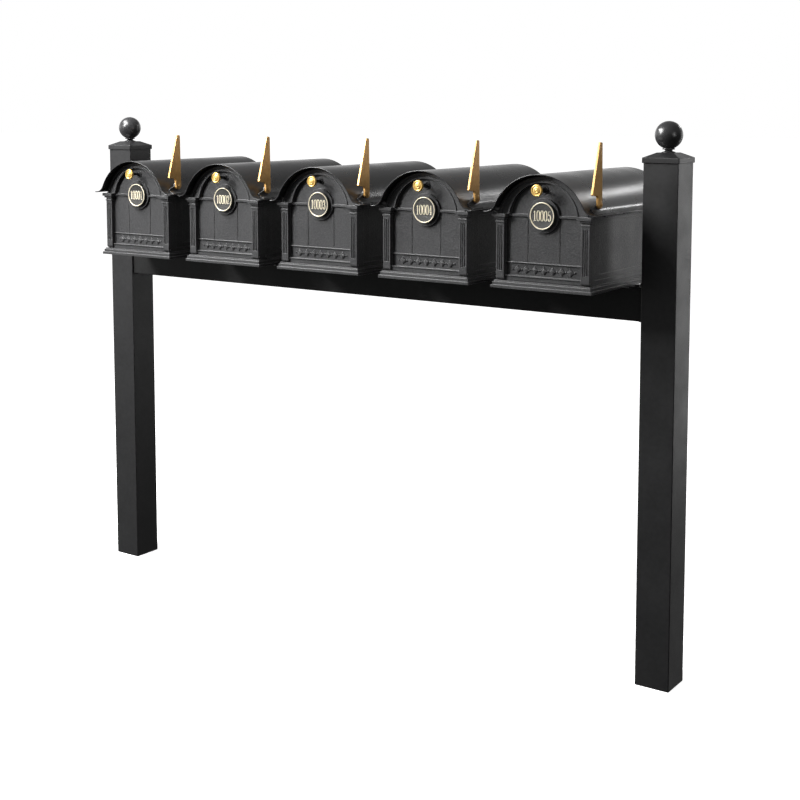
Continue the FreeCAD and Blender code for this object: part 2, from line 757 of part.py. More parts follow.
def roof_section():
    """Closed section of the roof sheet: crown arc and two flared eaves, outside then inside."""
    outer_turn = ("roof_radius * sin(roof_angle)", f"{ROOF_CENTRE} + roof_radius * cos(roof_angle)")
    inner = "(roof_radius - roof_sheet)"
    inner_turn = (f"{inner} * sin(roof_angle)", f"{ROOF_CENTRE} + {inner} * cos(roof_angle)")
    return [
        ("roof_half_width", EAVE_UNDER), ("roof_half_width", EAVE_TOP),
        (FLARE_SIDE, EAVE_TOP, "flare_radius", "right"),
        (*outer_turn, "roof_radius", "left"),
        (f"-({outer_turn[0]})", outer_turn[1], "flare_radius", "right"),
        (f"-{FLARE_SIDE}", EAVE_TOP), ("-roof_half_width", EAVE_TOP),
        ("-roof_half_width", EAVE_UNDER),
        (f"-{FLARE_SIDE}", EAVE_UNDER, "flare_radius + roof_sheet", "left"),
        (f"-({inner_turn[0]})", inner_turn[1], inner, "right"),
        (*inner_turn, "flare_radius + roof_sheet", "left"),
        (FLARE_SIDE, EAVE_UNDER),
    ]


def make_roof(box):
    """Arched sheet that overhangs the door and the back, with blind screw holes in the eaves."""
    roof = box_body("roof", box)
    pad(roof, "XZ", "roof_front", "roof_rear", [roof_section()])
    pocket(roof, "XY", f"{EAVE_UNDER} - overrun", f"{EAVE_TOP} - screw_cover",
           [(x, y, "screw_radius") for x, y in soffit_screw_spots()])


def make_back_panel(box):
    """Plate that closes the rear under the roof."""
    panel = box_body("back_panel", box)
    arch = "(roof_radius - roof_sheet - back_gap)"
    shoulder = f"{ROOF_CENTRE} + sqrt({arch} ^ 2 - shell_half_width ^ 2)"
    pad(panel, "XZ", "shell_rear", "shell_rear + back_sheet", [[
        ("-shell_half_width", "ledge_top + back_gap"), ("shell_half_width", "ledge_top + back_gap"),
        ("shell_half_width", shoulder, arch, "left"), ("-shell_half_width", shoulder),
    ]])
    low, high = "shell_rear + back_sheet - overrun", "shell_rear + back_sheet + back_emboss"
    side = "shell_half_width - emboss_margin"
    pad(panel, "XZ", low, high, [rectangle(f"-({side})", side, "panel_low", "panel_high")])
    pocket(panel, "XZ", "shell_rear - overrun", f"{high} + overrun",
           [(x, z, "screw_hole_radius") for x, z in back_screw_spots()])


def arch_half_width(radius, centre):
    """Half the width of an arch where it meets the spring line."""
    return f"sqrt({radius} ^ 2 - (spring_height - {centre}) ^ 2)"


def arch_ring(outer, outer_centre, inner, inner_centre):
    """Outline between two arches that stand on the spring line."""
    wide = arch_half_width(outer, outer_centre)
    narrow = arch_half_width(inner, inner_centre)
    return [
        (wide, "spring_height", outer, "left"), (f"-{wide}", "spring_height"),
        (f"-{narrow}", "spring_height", inner, "right"), (narrow, "spring_height"),
    ]


def both_sides(low, high, foot, top):
    """The same rectangle left and right of the middle."""
    return [rectangle(*across(side, low, high), foot, top) for side in SIDES]


def make_door(box):
    """Drop-down door: the whole front casting, with pilasters, arch, mouldings and rear flanges."""
    door = box_body("door", box)
    shoulder = arch_half_width(DOOR_ARCH, ROOF_CENTRE)
    pad(door, "XZ", "door_face", "door_back", [[
        (f"-{shoulder}", DOOR_FOOT), (shoulder, DOOR_FOOT),
        (shoulder, "spring_height", DOOR_ARCH, "left"), (f"-{shoulder}", "spring_height"),
    ]])
    pad(door, "XZ", "pilaster_front", "door_back",
        both_sides(PILASTER_INNER, "pilaster_half_width", DOOR_FOOT, "spring_height"))
    add_door_flanges(door)
    add_door_mouldings(door)
    add_capitals(door)
    cut_flutes_and_grooves(door)
    cut_hinge_room(door)
    pocket(door, "XZ", "boss_face - overrun", "door_back + overrun",
           [("0", "knob_height", "knob_hole_radius")])


def add_door_flanges(door):
    """Rim behind the door's face that closes the gap to the shell and the roof."""
    inner_arch = f"({DOOR_ARCH} - door_flange)"
    low, high = "door_back - overrun", "door_flange_rear"
    pad(door, "XZ", low, high, both_sides("pilaster_half_width - door_flange", "pilaster_half_width",
                                          DOOR_FOOT, "spring_height"))
    pad(door, "XZ", low, high, both_sides(arch_half_width(inner_arch, ROOF_CENTRE), "pilaster_half_width",
                                          "spring_height - shoulder_depth", "spring_height"))
    pad(door, "XZ", low, high, [arch_ring(DOOR_ARCH, ROOF_CENTRE, inner_arch, ROOF_CENTRE)])
    pad(door, "XZ", low, high, [rectangle("-pilaster_half_width", "pilaster_half_width",
                                          DOOR_FOOT, f"{DOOR_FOOT} + door_flange")])


def add_door_mouldings(door):
    """Arch band with its bead and rim, foot rail, lines, impost and the bosses for plaque and knob."""
    inner = ("inner_arch_radius", "inner_arch_centre")
    pad(door, "XZ", "arch_face", "door_back", [arch_ring(DOOR_ARCH, ROOF_CENTRE, *inner)])
    bead = ("(inner_arch_radius + bead_width)", "inner_arch_centre")
    pad(door, "XZ", "arch_face - bead_rise", "arch_face + overrun", [arch_ring(*bead, *inner)])
    pad(door, "XZ", "arch_face - rim_rise", "arch_face + overrun",
        [arch_ring(DOOR_ARCH, ROOF_CENTRE, f"({DOOR_ARCH} - rim_width)", ROOF_CENTRE)])
    rows = (
        ("rail_face", DOOR_FOOT, "rail_top"),
        ("rail_line_face", "rail_top", "rail_line_top"),
        ("band_line_face", "band_line_low", "band_line_top"),
        ("impost_face", "impost_low", "spring_height"),
    )
    reach = f"({PILASTER_INNER} + overrun)"
    for face, low, high in rows:
        pad(door, "XZ", face, "door_back", [rectangle(f"-{reach}", reach, low, high)])
    pad(door, "XZ", "boss_face", "door_back", [("0", "plaque_height", "boss_radius")])
    pad(door, "XZ", "rosette_face", "door_back", [("0", "knob_height", "rosette_radius")])


def add_capitals(door):
    """Stepped capitals: a neck ring, an echinus and an abacus."""
    members = (
        ("neck_overhang", "neck_low", "neck_top"),
        ("echinus_overhang", "echinus_low", "abacus_low"),
        ("abacus_overhang", "abacus_low", "spring_height"),
    )
    for overhang, foot, top in members:
        inner = f"{PILASTER_INNER} - {overhang} + capital_inner_trim"
        pad(door, "XZ", f"pilaster_front - {overhang}", "door_back",
            both_sides(inner, f"pilaster_half_width + {overhang}", foot, top))


def cut_flutes_and_grooves(door):
    """Three flutes in each pilaster and the two plank grooves in the face."""
    flutes = []
    for step in (-1, 0, 1):
        middle = f"(pilaster_half_width - pilaster_width / 2 + {step} * flute_spacing)"
        flutes += both_sides(f"{middle} - flute_width / 2", f"{middle} + flute_width / 2",
                             "flute_low", "flute_high")
    pocket(door, "XZ", "pilaster_front - overrun", "pilaster_front + flute_depth", flutes)
    grooves = both_sides("plank_groove - groove_width / 2", "plank_groove + groove_width / 2",
                         "band_line_top", "impost_low")
    pocket(door, "XZ", "door_face - overrun", "door_face + groove_depth", grooves)


def cut_hinge_room(door):
    """Rounds the foot about the hinge axis, and makes room for the lugs and pins."""
    pocket(door, "YZ", "-pilaster_half_width - overrun", "pilaster_half_width + overrun", [[
        ("pilaster_front", HINGE_HEIGHT, "hinge_inset", "left"),
        (HINGE_DEPTH, f"{HINGE_HEIGHT} - hinge_inset"), (HINGE_DEPTH, "ledge_top - overrun"),
        ("pilaster_front - overrun", "ledge_top - overrun"), ("pilaster_front - overrun", HINGE_HEIGHT),
    ]])
    room = rectangle(f"{HINGE_DEPTH} - lug_radius - lug_play", "door_flange_rear + overrun",
                     "ledge_top", f"{HINGE_HEIGHT} + lug_radius + lug_play")
    reach = "(lug_width / 2 + lug_clearance)"
    for side in SIDES:
        pocket(door, "YZ", *across(side, f"lug_middle - {reach}", f"lug_middle + {reach}"), [room])
        bore = (HINGE_DEPTH, HINGE_HEIGHT, "hinge_pin_radius + running_gap")
        pocket(door, "YZ", *across(side, PILASTER_INNER, "pilaster_half_width + overrun"), [bore])


def make_knob(box):
    """Turned door knob whose tail passes through the door and meets the catch."""
    knob = box_body("door_knob", box, z="knob_height")
    tail, foot, stem, ball = "knob_tail_radius", "knob_foot_radius", "knob_stem_radius", "knob_radius"
    revolve(knob, "XY", [
        ("0", "knob_tail"), (tail, "knob_tail"), (tail, "rosette_face"), (foot, "rosette_face"),
        (foot, "rosette_face - knob_foot_edge"), (stem, "rosette_face - knob_foot_height"),
        (stem, "knob_front + knob_neck_depth"), (foot, "knob_front + knob_swell_depth"),
        (f"{ball} - knob_back_inset", "knob_front + knob_back_depth", "knob_back_round", "right"),
        (ball, "knob_front + knob_belly_rear"),
        (ball, "knob_front + knob_belly_front", "knob_front_round", "right"),
        (f"{ball} - knob_face_inset", "knob_front + knob_face_rise"), ("0", "knob_front"),
    ])


def make_plaque(box):
    """Round number plaque: a disc with a raised rim."""
    plaque = box_body("number_plaque", box)
    disc = ("0", "plaque_height", "plaque_radius")
    pad(plaque, "XZ", "plaque_front", "boss_face", [disc])
    pocket(plaque, "XZ", "plaque_front - overrun", "plaque_field",
           [("0", "plaque_height", "plaque_radius - plaque_rim")])


def make_flag(box):
    """Signal flag, drawn about its pivot, upright at rest."""
    flag = box_body("flag", box, "flag_middle", "flag_pivot_depth", "flag_pivot_height")
    tip, corner = "flag_length", "flag_corner_bevel"
    pad(flag, "YZ", "-flag_sheet / 2", "flag_sheet / 2", [[
        ("flag_end_radius", "0"), ("flag_tip_rear", f"{tip} - flag_tip_bevel"),
        ("flag_tip_rear - flag_tip_bevel", tip), (f"flag_tip_front + {corner}", tip),
        ("flag_tip_front", f"{tip} - {corner}"),
        ("flag_shoulder_front", f"flag_shoulder + {corner}"),
        (f"flag_shoulder_front + {corner}", "flag_shoulder"),
        ("-flag_end_radius - flag_notch", f"flag_shoulder - {corner}", "flag_notch", "right"),
        ("-flag_end_radius", "flag_shoulder - flag_notch"),
        ("-flag_end_radius", "0", "flag_end_radius", "left"),
        ("0", "-flag_end_radius", "flag_end_radius", "left"),
    ]])
    face = "flag_sheet / 2"
    pad(flag, "YZ", f"{face} - overrun", f"{face} + flag_boss_rise", [("0", "0", "flag_boss_radius")])
    pocket(flag, "YZ", f"-{face} - overrun", f"{face} + flag_boss_rise + overrun",
           [("0", "0", "flag_screw_radius + running_gap")])


def flare_height(side, radius):
    """Height of a circle about the flare's centre, below side."""
    return f"{FLARE_CENTRE} - sqrt(({radius}) ^ 2 - ({FLARE_SIDE} - {side}) ^ 2)"


def make_flag_bracket(box):
    """Saddle that lies on the roof's flare, with a wedge and a drilled ear."""
    bracket = box_body("flag_bracket", box)
    inner_radius = "(flare_radius - saddle_sheet)"
    pad(bracket, "XZ", "saddle_front", "saddle_rear", [[
        ("ear_inner", flare_height("ear_inner", "flare_radius"), "flare_radius", "left"),
        ("saddle_outer", flare_height("saddle_outer", "flare_radius")),
        ("saddle_outer", flare_height("saddle_outer", inner_radius), inner_radius, "right"),
        ("ear_inner", flare_height("ear_inner", inner_radius)),
    ]])
    front, rear = "flag_pivot_depth - flag_end_radius", "flag_pivot_depth + flag_end_radius"
    top = "flag_pivot_height + flag_end_radius + overrun"
    pad(bracket, "XZ", "saddle_front", rear, [[
        ("ear_inner", flare_height("ear_inner", "flare_radius"), "flare_radius", "left"),
        ("ear_outer", flare_height("ear_outer", "flare_radius")),
        ("ear_outer", top), ("ear_inner", top),
    ]])
    pocket(bracket, "YZ", "ear_inner - overrun", "ear_outer + overrun", [[
        ("saddle_front - overrun", "wedge_height"),
        (front, "flag_pivot_height", "flag_end_radius", "right"),
        ("flag_pivot_depth", "flag_pivot_height + flag_end_radius", "flag_end_radius", "right"),
        (rear, "flag_pivot_height"), (f"{rear} + overrun", "flag_pivot_height"),
        (f"{rear} + overrun", f"{top} + overrun"), ("saddle_front - overrun", f"{top} + overrun"),
    ]])
    pocket(bracket, "YZ", "ear_inner - overrun", "ear_outer + overrun",
           [("flag_pivot_depth", "flag_pivot_height", "flag_screw_radius")])


def make_mount_plate(box):
    """Steel plate between the crossbeam and the mailbox floor."""
    plate = box_body("mount_plate", box)
    outline = rounded_rectangle("plate_half_width", "plate_half_depth", "plate_corner", "-post_setback")
    pad(plate, "XY", PLATE_UNDER, "floor_under", [outline])
    pocket(plate, "XY", f"{PLATE_UNDER} - overrun", "floor_under + overrun",
           [(x, y, "bolt_hole_radius") for x, y in floor_bolt_spots()])


# ---- fasteners and catches of all five mailboxes --------------------------------------------

def in_unit(box, x, z):
    """A mailbox's own X and Z as expressions in the unit's frame."""
    return f"{box - MIDDLE_BOX} * box_pitch + {x}", f"box_base + {z}"


def make_mailbox_bolts():
    """Bolts through each floor and mounting plate; the outer four carry a nut under the plate."""
    bolts = []
    for box in BOXES:
        seat = "box_base + floor_top"
        for number, (x, y) in enumerate(floor_bolt_spots()):
            spot = (in_unit(box, x, "0")[0], y, "")
            head_top = f"{seat} + floor_bolt_head"
            shank_foot = "beam_top - floor_bolt_drop"
            head = rod("mailbox_bolt_head", "Z", "bolt_head_radius", seat, head_top, spot)
            shank = rod("mailbox_bolt_shank", "Z", "bolt_radius", shank_foot, seat, spot)
            pieces = [head, shank]
            if number > 1:
                pieces.append(rod("mailbox_bolt_nut", "Z", "nut_radius",
                                  "beam_top - bolt_head_height", "beam_top", spot))
            bolts.append(fused("mailbox_bolt", pieces))
    grouped("mailbox_bolts", bolts)


def make_hinge_pins():
    """Two pins per door, fixed in the lugs and free in the door."""
    pins = []
    for box in BOXES:
        for side in SIDES:
            low, high = across(side, f"{PILASTER_INNER} + pin_inner_gap",
                               "pilaster_half_width - pin_outer_gap")
            ends = [in_unit(box, end, "0")[0] for end in (low, high)]
            spot = ("", HINGE_DEPTH, in_unit(box, "0", HINGE_HEIGHT)[1])
            pins.append(rod("hinge_pin", "X", "hinge_pin_radius", *ends, spot))
    grouped("hinge_pins", pins)


def make_flag_screws():
    """One pivot screw per flag, fixed in the bracket's ear."""
    screws = []
    for box in BOXES:
        seat = "flag_middle + flag_sheet / 2 + flag_boss_rise + flag_screw_gap"
        ends = ("ear_inner + flag_screw_inset", seat, f"{seat} + flag_screw_head")
        low, seat_x, top = (in_unit(box, place, "0")[0] for place in ends)
        spot = ("", "flag_pivot_depth", in_unit(box, "0", "flag_pivot_height")[1])
        screws.append(headed("flag_screw", "X", "flag_screw_radius", low, seat_x,
                             "flag_screw_radius * 2", seat_x, top, spot))
    grouped("flag_screws", screws)


def make_panel_screws():
    """Small screws: up through the soffits into the roof, and in through the back panels."""
    screws = []
    for box in BOXES:
        seat = f"box_base + {EAVE_UNDER} - soffit_sheet"
        point = f"box_base + {EAVE_TOP} - screw_cover - screw_end_gap"
        for x, y in soffit_screw_spots():
            spot = (in_unit(box, x, "0")[0], y, "")
            screws.append(headed("soffit_screw", "Z", "screw_radius", seat, point,
                                 "screw_head_radius", f"{seat} - screw_head_height", seat, spot))
        seat = "shell_rear + back_sheet"
        for x, z in back_screw_spots():
            x_unit, z_unit = in_unit(box, x, z)
            screws.append(headed("back_screw", "Y", "screw_radius", "shell_rear - tab_depth", seat,
                                 "screw_head_radius", seat, f"{seat} + screw_head_height",
                                 (x_unit, "", z_unit)))
    grouped("panel_screws", screws)


def make_door_catches():
    """Magnet on a strap that hangs from each roof behind the knob's tail."""
    catches = []
    face = "(knob_tail + catch_gap)"
    strap_front = f"({face} + catch_depth)"
    strap_rear = f"({strap_front} + catch_strap)"
    top = f"(box_base + {ROOF_CENTRE} + sqrt((roof_radius - roof_sheet) ^ 2 - catch_half_width ^ 2))"
    for box in BOXES:
        width = tuple(in_unit(box, x, "0")[0] for x in ("-catch_half_width", "catch_half_width"))
        low = "box_base + catch_low"
        magnet = block("catch_magnet", width, (face, strap_front), (low, f"{low} + catch_height"))
        strap = block("catch_strap", width, (strap_front, strap_rear), (low, top))
        foot = block("catch_foot", width, (strap_front, f"{strap_front} + catch_foot"),
                     (f"{top} - catch_strap", top))
        catches.append(fused("door_catch", [magnet, strap, foot]))
    grouped("door_catches", catches)


# ---- the whole unit ------------------------------------------------------------------------

def build():
    """Makes every sub-part."""
    fill_sheet()
    for name, side in (("left", -1), ("right", 1)):
        make_post(f"post_{name}", side)
        make_cap(f"post_cap_{name}", side)
        make_finial(f"finial_{name}", side)
        make_beam_brackets(f"beam_brackets_{name}", side)
    make_crossbeam()
    make_beam_bolts()
    for box in BOXES:
        make_mailbox_body(box)
        make_roof(box)
        make_back_panel(box)
        make_door(box)
        make_knob(box)
        make_plaque(box)
        make_flag(box)
        make_flag_bracket(box)
        make_mount_plate(box)
    make_mailbox_bolts()
    make_hinge_pins()
    make_flag_screws()
    make_panel_screws()
    make_door_catches()
    doc.recompute()


def check():
    """Stops if any object failed, any pocket cut nothing, or any sub-part isn't sound."""
    for item in doc.Objects:
        if "Invalid" in item.State or "Error" in item.State:
            raise RuntimeError(f"{item.Name} failed: {item.State}")
        if item.TypeId == "PartDesign::Pocket":
            before, after = item.BaseFeature.Shape.Volume, item.Shape.Volume
            if before - after < LEAST_CUT:
                raise RuntimeError(f"{item.Name} cut nothing")
    for part in sub_parts:
        if part.Shape.isNull() or not part.Shape.isValid():
            raise RuntimeError(f"{part.Label} isn't a sound shape")


def write_parts():
    """Writes one STEP file per sub-part."""
    os.makedirs("parts", exist_ok=True)
    for part in sub_parts:
        part.Shape.exportStep(f"parts/{part.Label}.step")
        print(part.Label, len(part.Shape.Solids), "solid(s)", round(part.Shape.Volume / 1000, 1), "cm3")


build()
check()
write_parts()
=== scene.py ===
"""Looks of a row of five arch-roofed mailboxes on two posts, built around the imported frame."""
import json
import math

import bmesh
import bpy
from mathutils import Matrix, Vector

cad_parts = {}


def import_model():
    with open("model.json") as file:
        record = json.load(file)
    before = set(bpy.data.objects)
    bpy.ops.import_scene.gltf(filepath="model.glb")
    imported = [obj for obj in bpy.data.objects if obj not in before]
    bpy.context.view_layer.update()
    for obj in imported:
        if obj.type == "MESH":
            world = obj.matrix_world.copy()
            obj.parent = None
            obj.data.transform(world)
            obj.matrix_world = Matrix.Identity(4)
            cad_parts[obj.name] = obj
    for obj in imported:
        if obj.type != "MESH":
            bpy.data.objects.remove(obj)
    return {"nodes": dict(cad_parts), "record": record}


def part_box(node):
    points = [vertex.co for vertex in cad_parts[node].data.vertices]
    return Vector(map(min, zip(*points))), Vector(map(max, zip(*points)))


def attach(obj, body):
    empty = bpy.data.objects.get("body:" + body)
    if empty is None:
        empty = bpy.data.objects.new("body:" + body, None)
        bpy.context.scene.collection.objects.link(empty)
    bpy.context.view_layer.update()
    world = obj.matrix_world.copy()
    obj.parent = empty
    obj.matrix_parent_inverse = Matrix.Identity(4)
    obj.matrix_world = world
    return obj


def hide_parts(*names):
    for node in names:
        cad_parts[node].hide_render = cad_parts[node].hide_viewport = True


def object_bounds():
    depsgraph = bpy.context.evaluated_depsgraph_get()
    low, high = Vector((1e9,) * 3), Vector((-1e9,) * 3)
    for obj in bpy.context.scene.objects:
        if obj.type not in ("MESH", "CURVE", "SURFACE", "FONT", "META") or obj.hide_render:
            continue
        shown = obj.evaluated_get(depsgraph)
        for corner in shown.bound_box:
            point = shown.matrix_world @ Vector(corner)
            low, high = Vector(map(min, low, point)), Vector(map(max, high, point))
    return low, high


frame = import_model()
CAD_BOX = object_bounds()

MM = 0.001
FRONT = Vector((0, -1, 0))
UP = Vector((0, 0, 1))
SIDES = ("left", "right")
BOXES = range(1, 6)
NODE_SLOT = {part["node"]: part["material_slot"] for part in frame["record"]["subparts"]}
BODY_OF = {node: body for body, nodes in frame["record"]["behaviour"]["bodies"].items() for node in nodes}

# ---------------------------------------------------------------- material nodes


def node_tree(name):
    """An empty material, its nodes and links, and a Principled shader joined to its output."""
    made = bpy.data.materials.new(name)
    made.use_nodes = True
    tree = made.node_tree
    tree.nodes.clear()
    out = tree.nodes.new("ShaderNodeOutputMaterial")
    shader = tree.nodes.new("ShaderNodeBsdfPrincipled")
    tree.links.new(shader.outputs[0], out.inputs[0])
    return made, tree, shader


def noise(tree, place, grain, detail=3.0):
    """A noise whose grains are about this many metres across."""
    made = tree.nodes.new("ShaderNodeTexNoise")
    made.inputs["Scale"].default_value = 1 / grain
    made.inputs["Detail"].default_value = detail
    made.inputs["Roughness"].default_value = 0.55
    tree.links.new(place, made.inputs["Vector"])
    return made.outputs["Fac"]


def spread(tree, value, low, high, start=0.3, end=0.7):
    """value, from start to end, spread between low and high."""
    made = tree.nodes.new("ShaderNodeMapRange")
    made.inputs["From Min"].default_value = start
    made.inputs["From Max"].default_value = end
    made.inputs["To Min"].default_value = low
    made.inputs["To Max"].default_value = high
    tree.links.new(value, made.inputs["Value"])
    return made.outputs["Result"]


def blended(tree, share, first, second):
    """A colour between two, each a colour or another node's output."""
    made = tree.nodes.new("ShaderNodeMix")
    made.data_type = "RGBA"
    tree.links.new(share, made.inputs["Factor"])
    sockets = [socket for socket in made.inputs if socket.type == "RGBA"]
    for socket, colour in zip(sockets, (first, second)):
        if isinstance(colour, tuple):
            socket.default_value = (*colour, 1)
        else:
            tree.links.new(colour, socket)
    return next(socket for socket in made.outputs if socket.type == "RGBA")


def dot(tree, first, second):
    """The dot product of a node's output and a direction or another node's output."""
    made = tree.nodes.new("ShaderNodeVectorMath")
    made.operation = "DOT_PRODUCT"
    tree.links.new(first, made.inputs[0])
    if isinstance(second, tuple):
        made.inputs[1].default_value = second
    else:
        tree.links.new(second, made.inputs[1])
    return made.outputs["Value"]


def raised(tree, height, depth, normal=None):
    """Bump of this depth in metres, on top of a normal if there is one."""
    made = tree.nodes.new("ShaderNodeBump")
    made.inputs["Strength"].default_value = 1
    made.inputs["Distance"].default_value = depth
    tree.links.new(height, made.inputs["Height"])
    if normal is not None:
        tree.links.new(normal, made.inputs["Normal"])
    return made.outputs["Normal"]


EDGE_ROUNDING_WIDTH = 1.2 * MM
# Wear and painted edge highlight fade out between these dot products of the rounded and the true normal.
WEAR_AND_HIGHLIGHT_FROM = 0.8
WEAR_AND_HIGHLIGHT_TO = 0.995


def edge_mask(tree):
    """A normal that is rounded at edges, and a mask that is 1 along sharp outer and inner edges."""
    soft = tree.nodes.new("ShaderNodeBevel")
    soft.samples = 4
    soft.inputs["Radius"].default_value = EDGE_ROUNDING_WIDTH
    flat = tree.nodes.new("ShaderNodeNewGeometry")
    likeness = dot(tree, soft.outputs[0], flat.outputs["Normal"])
    return soft.outputs[0], spread(tree, likeness, 1, 0, WEAR_AND_HIGHLIGHT_FROM, WEAR_AND_HIGHLIGHT_TO)


CLOUD_GRAIN = 90 * MM
CLOUD_DETAIL = 4
UNEVEN_GLOSS = 0.05
LEAST_WEAR_AND_HIGHLIGHT = 0.45


def coat(name, dark, light, roughness, fine, coarse, edge=None, metallic=0.0, gloss=0.5):
    """A finish between two shades, with uneven gloss and, if edge is a colour, edges lightened towards it:
    partly wear, partly a painted highlight, on inner edges as well as outer.

    fine and coarse are the size of a grain and the depth of its relief, in mm.
    """
    made, tree, shader = node_tree(name)
    place = tree.nodes.new("ShaderNodeTexCoord").outputs["Object"]
    small = noise(tree, place, fine[0] * MM)
    large = noise(tree, place, coarse[0] * MM)
    cloud = noise(tree, place, CLOUD_GRAIN, CLOUD_DETAIL)
    colour = blended(tree, spread(tree, large, 0, 1), dark, light)
    normal = None
    if edge is not None:
        # Sharp edges, inner ones too, are lightened to the edge colour: partly wear, partly a painted
        # highlight.
        normal, edges = edge_mask(tree)
        wear_and_highlight = tree.nodes.new("ShaderNodeMath")
        wear_and_highlight.operation = "MULTIPLY"
        tree.links.new(edges, wear_and_highlight.inputs[0])
        tree.links.new(spread(tree, cloud, LEAST_WEAR_AND_HIGHLIGHT, 1), wear_and_highlight.inputs[1])
        colour = blended(tree, wear_and_highlight.outputs[0], colour, edge)
    uneven = spread(tree, cloud, roughness - UNEVEN_GLOSS, roughness + UNEVEN_GLOSS)
    normal = raised(tree, large, coarse[1] * MM, normal)
    normal = raised(tree, small, fine[1] * MM, normal)
    shader.inputs["Metallic"].default_value = metallic
    shader.inputs["Specular IOR Level"].default_value = gloss
    tree.links.new(colour, shader.inputs["Base Color"])
    tree.links.new(uneven, shader.inputs["Roughness"])
    tree.links.new(normal, shader.inputs["Normal"])
    return made


# ---------------------------------------------------------------- finishes

FINISHES = {
    # Each edge colour is the lightening along sharp edges: partly wear, partly a painted highlight.
    # stippled powder coat on castings
    "cast_black": dict(dark=(0.021, 0.021, 0.022), light=(0.04, 0.04, 0.041), edge=(0.24, 0.24, 0.24),
                       roughness=0.43, fine=(1.2, 0.35), coarse=(5.2, 0.8)),
    # smooth powder coats on sheet, tube and the turned finials
    "roof_black": dict(dark=(0.013, 0.013, 0.0135), light=(0.018, 0.018, 0.0185),
                       roughness=0.3, fine=(0.9, 0.02), coarse=(20, 0.1)),
    "post_black": dict(dark=(0.012, 0.012, 0.0125), light=(0.017, 0.017, 0.0175), edge=(0.09, 0.09, 0.09),
                       roughness=0.4, fine=(0.9, 0.12), coarse=(12, 0.1)),
    # The beam's coat is darker and less glossy than the posts': painted shade for its place under the boxes.
    "beam_black_painted_shade": dict(dark=(0.006, 0.006, 0.006), light=(0.009, 0.009, 0.009), edge=(0.05, 0.05, 0.05),
                       roughness=0.5, fine=(0.9, 0.12), coarse=(12, 0.1), gloss=0.3),
    "finial_black": dict(dark=(0.024, 0.024, 0.025), light=(0.03, 0.03, 0.031), edge=(0.1, 0.1, 0.1),
                         roughness=0.27, fine=(1, 0.1), coarse=(10, 0.2)),
    # gold on flags and knobs, and the plaques' black field and pale gilt
    "gold": dict(dark=(0.62, 0.34, 0.1), light=(0.7, 0.41, 0.14), edge=(0.88, 0.66, 0.36),
                 roughness=0.42, fine=(1.2, 0.1), coarse=(10, 0.2), metallic=0.4),
    "knob_gold": dict(dark=(0.68, 0.43, 0.11), light=(0.78, 0.52, 0.17), edge=(0.95, 0.78, 0.42),
                      roughness=0.36, fine=(1.2, 0.1), coarse=(10, 0.2), metallic=0.5),
    "plaque": dict(dark=(0.012, 0.012, 0.012), light=(0.04, 0.039, 0.034), edge=(0.2, 0.19, 0.16),
                   roughness=0.45, fine=(0.9, 0.7), coarse=(3, 1.2)),
    "ivory_gold": dict(dark=(0.76, 0.67, 0.48), light=(0.88, 0.81, 0.63), edge=(0.95, 0.92, 0.8),
                       roughness=0.36, fine=(0.9, 0.08), coarse=(4, 0.1), metallic=0.2),
    # fasteners
    "black_hardware": dict(dark=(0.02, 0.02, 0.021), light=(0.03, 0.03, 0.03), edge=(0.12, 0.12, 0.12),
                           roughness=0.4, fine=(0.8, 0.1), coarse=(4, 0.1)),
    "zinc_steel": dict(dark=(0.42, 0.43, 0.44), light=(0.55, 0.56, 0.57), edge=(0.75, 0.75, 0.76),
                       roughness=0.38, fine=(1.2, 0.08), coarse=(8, 0.1), metallic=1.0),
}
MATERIALS = {name: coat(name, **finish) for name, finish in FINISHES.items()}
for node, shown in frame["nodes"].items():
    shown.data.materials.clear()
    shown.data.materials.append(MATERIALS[NODE_SLOT[node]])

# ---------------------------------------------------------------- mesh helpers

SMOOTH_ANGLE = math.radians(32)
FLAT_ANGLE = math.radians(0.3)
# Points of a CAD mesh this near each other are one point, and so are points of a new shape.
SAME_CAD_POINT = 0.01 * MM
SAME_POINT = 0.001 * MM
# The most of a run between two corners that one corner's curve may take.
LONGEST_CUT = 0.45


def middle_of(node):
    """The middle of a CAD node's box."""
    low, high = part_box(node)
    return (low + high) / 2


def finished(bm, name):
    """The mesh of bm, smooth except over sharp edges."""
    bmesh.ops.remove_doubles(bm, verts=bm.verts, dist=SAME_POINT)
    bmesh.ops.recalc_face_normals(bm, faces=bm.faces)
    for face in bm.faces:
        face.smooth = True
    for edge in bm.edges:
        edge.smooth = len(edge.link_faces) == 2 and edge.calc_face_angle() < SMOOTH_ANGLE
    mesh = bpy.data.meshes.new(name)
    bm.to_mesh(mesh)
    bm.free()
    return mesh


def placed(name, mesh, body, slot_name, material=None, stands_for=()):
    """A piece in the scene that rides on a body and may stand for CAD nodes."""
    mesh.materials.clear()
    mesh.materials.append(MATERIALS[material or slot_name])
    piece = bpy.data.objects.new(name, mesh)
    bpy.context.scene.collection.objects.link(piece)
    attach(piece, body)
    if stands_for:
        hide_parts(*stands_for)
    return piece


def rounded(node, width, segments=2, material=None):
    """Stands for a CAD node with the same shape, its hard edges rounded by this many mm."""
    bm = bmesh.new()
    bm.from_mesh(frame["nodes"][node].data)
    bmesh.ops.remove_doubles(bm, verts=bm.verts, dist=SAME_CAD_POINT)
    bmesh.ops.dissolve_limit(bm, angle_limit=FLAT_ANGLE, verts=bm.verts, edges=bm.edges)
    mesh = finished(bm, node + "_rounded")
    piece = placed(node + "_cast", mesh, BODY_OF[node], NODE_SLOT[node], material, (node,))
    bevel = piece.modifiers.new("rounding", "BEVEL")
    bevel.width = width * MM
    bevel.segments = segments
    bevel.limit_method = "ANGLE"
    bevel.angle_limit = SMOOTH_ANGLE
    bevel.use_clamp_overlap = False
    flat = piece.modifiers.new("flat_faces", "WEIGHTED_NORMAL")
    flat.mode = "FACE_AREA"
    flat.weight = 80
    flat.keep_sharp = False


